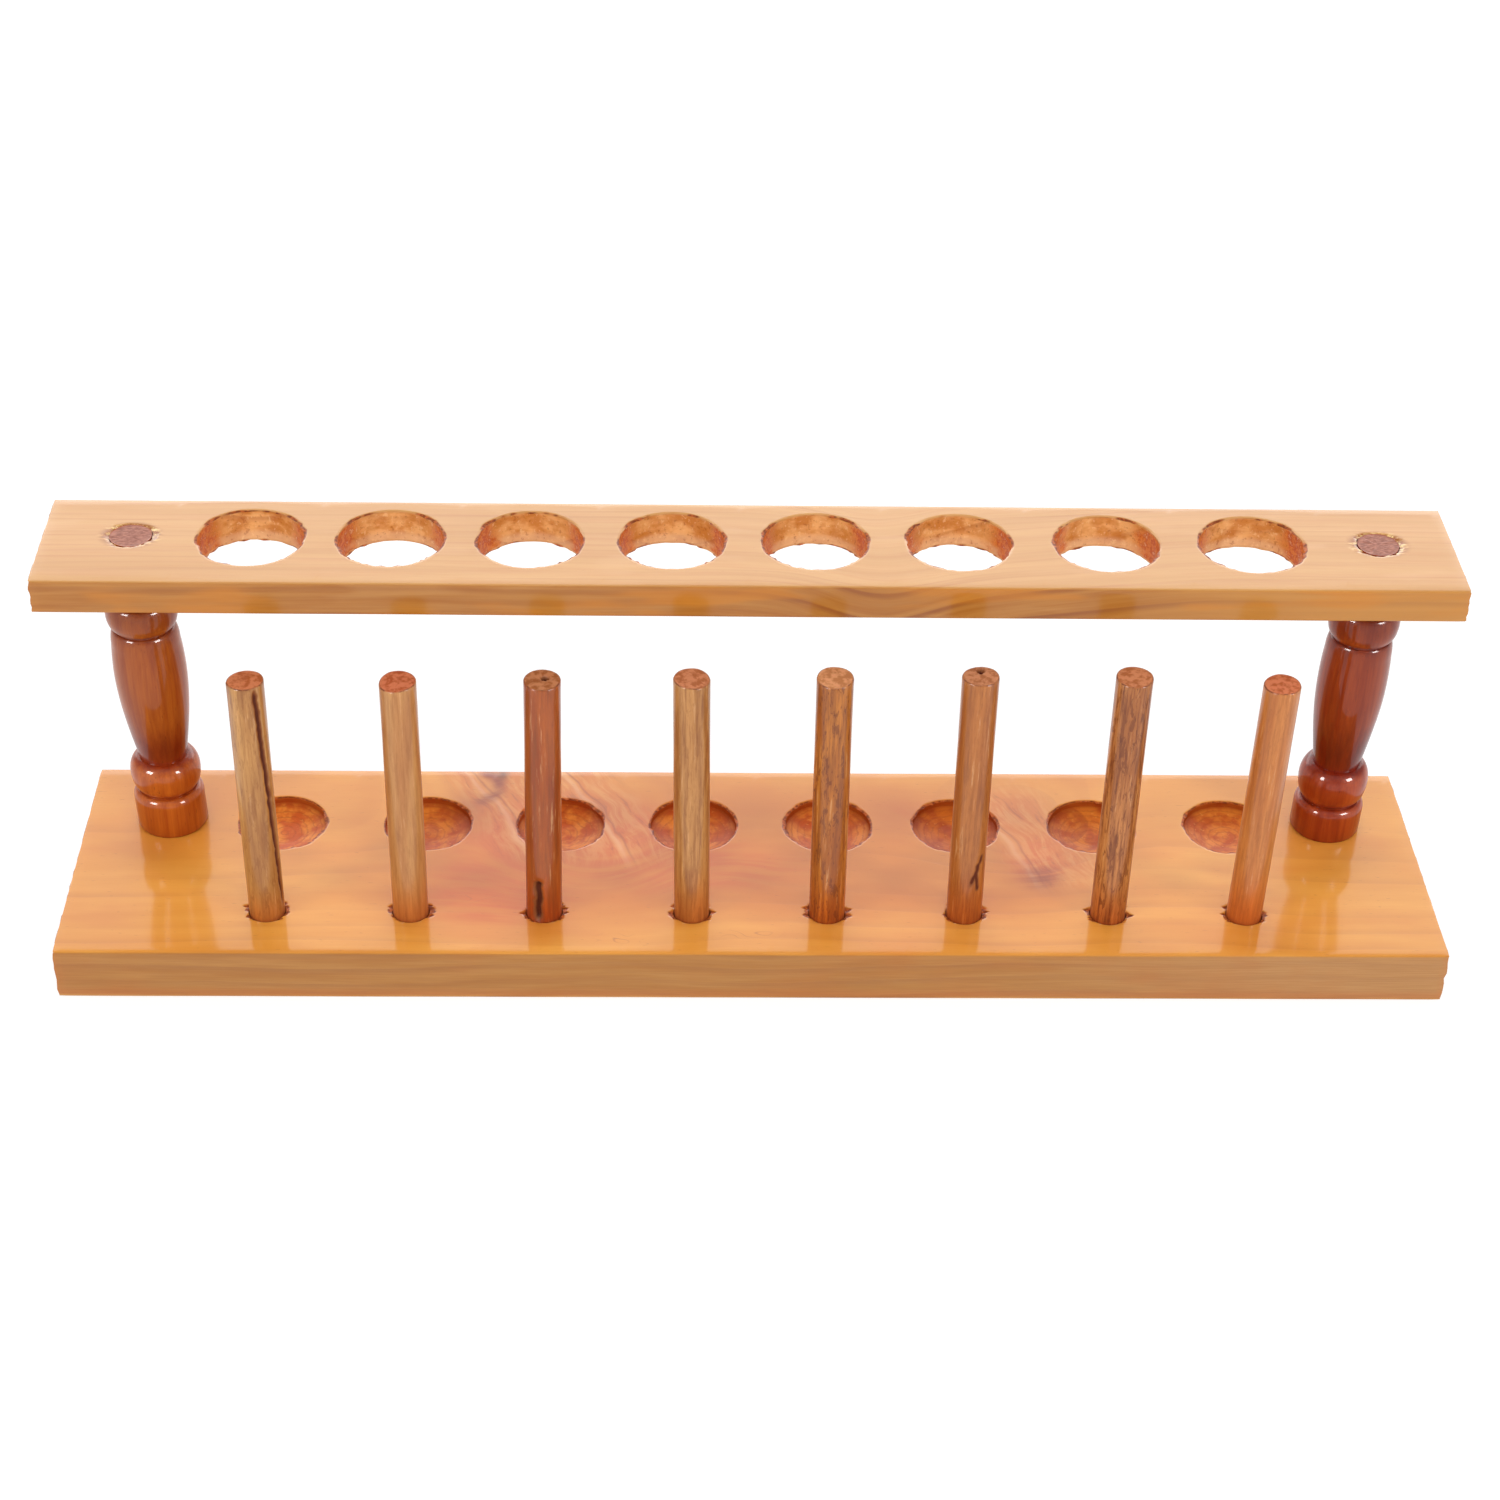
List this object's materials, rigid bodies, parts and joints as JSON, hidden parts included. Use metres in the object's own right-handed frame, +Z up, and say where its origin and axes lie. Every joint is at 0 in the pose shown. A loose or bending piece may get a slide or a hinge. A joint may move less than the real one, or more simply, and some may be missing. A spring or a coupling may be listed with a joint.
{
  "type": "test tube rack",
  "caption": "Lacquered wooden test tube rack: a drilled rail on two turned posts over a base board with shallow wells and a row of upright drying pegs.",
  "frame": {"origin": "middle of the base board's underside, on the bench", "axes": "+X along the rack, +Y from the drying pegs towards the tube wells and posts, +Z up"},
  "size_m": [0.2812, 0.062, 0.0813],
  "materials": {
    "light_wood": "pale reddish-orange hardwood board under glossy clear lacquer",
    "post_wood": "reddish-brown turned hardwood under glossy clear lacquer",
    "peg_wood": "brown dowel, thinly varnished, with sawn end grain on top"
  },
  "bodies": {
    "root": {"base_board": "light_wood", "top_rail": "light_wood", "left_post": "post_wood", "right_post": "post_wood", "drying_peg_1": "peg_wood", "drying_peg_2": "peg_wood", "drying_peg_3": "peg_wood", "drying_peg_4": "peg_wood", "drying_peg_5": "peg_wood", "drying_peg_6": "peg_wood", "drying_peg_7": "peg_wood", "drying_peg_8": "peg_wood"}
  },
  "joints": []
}
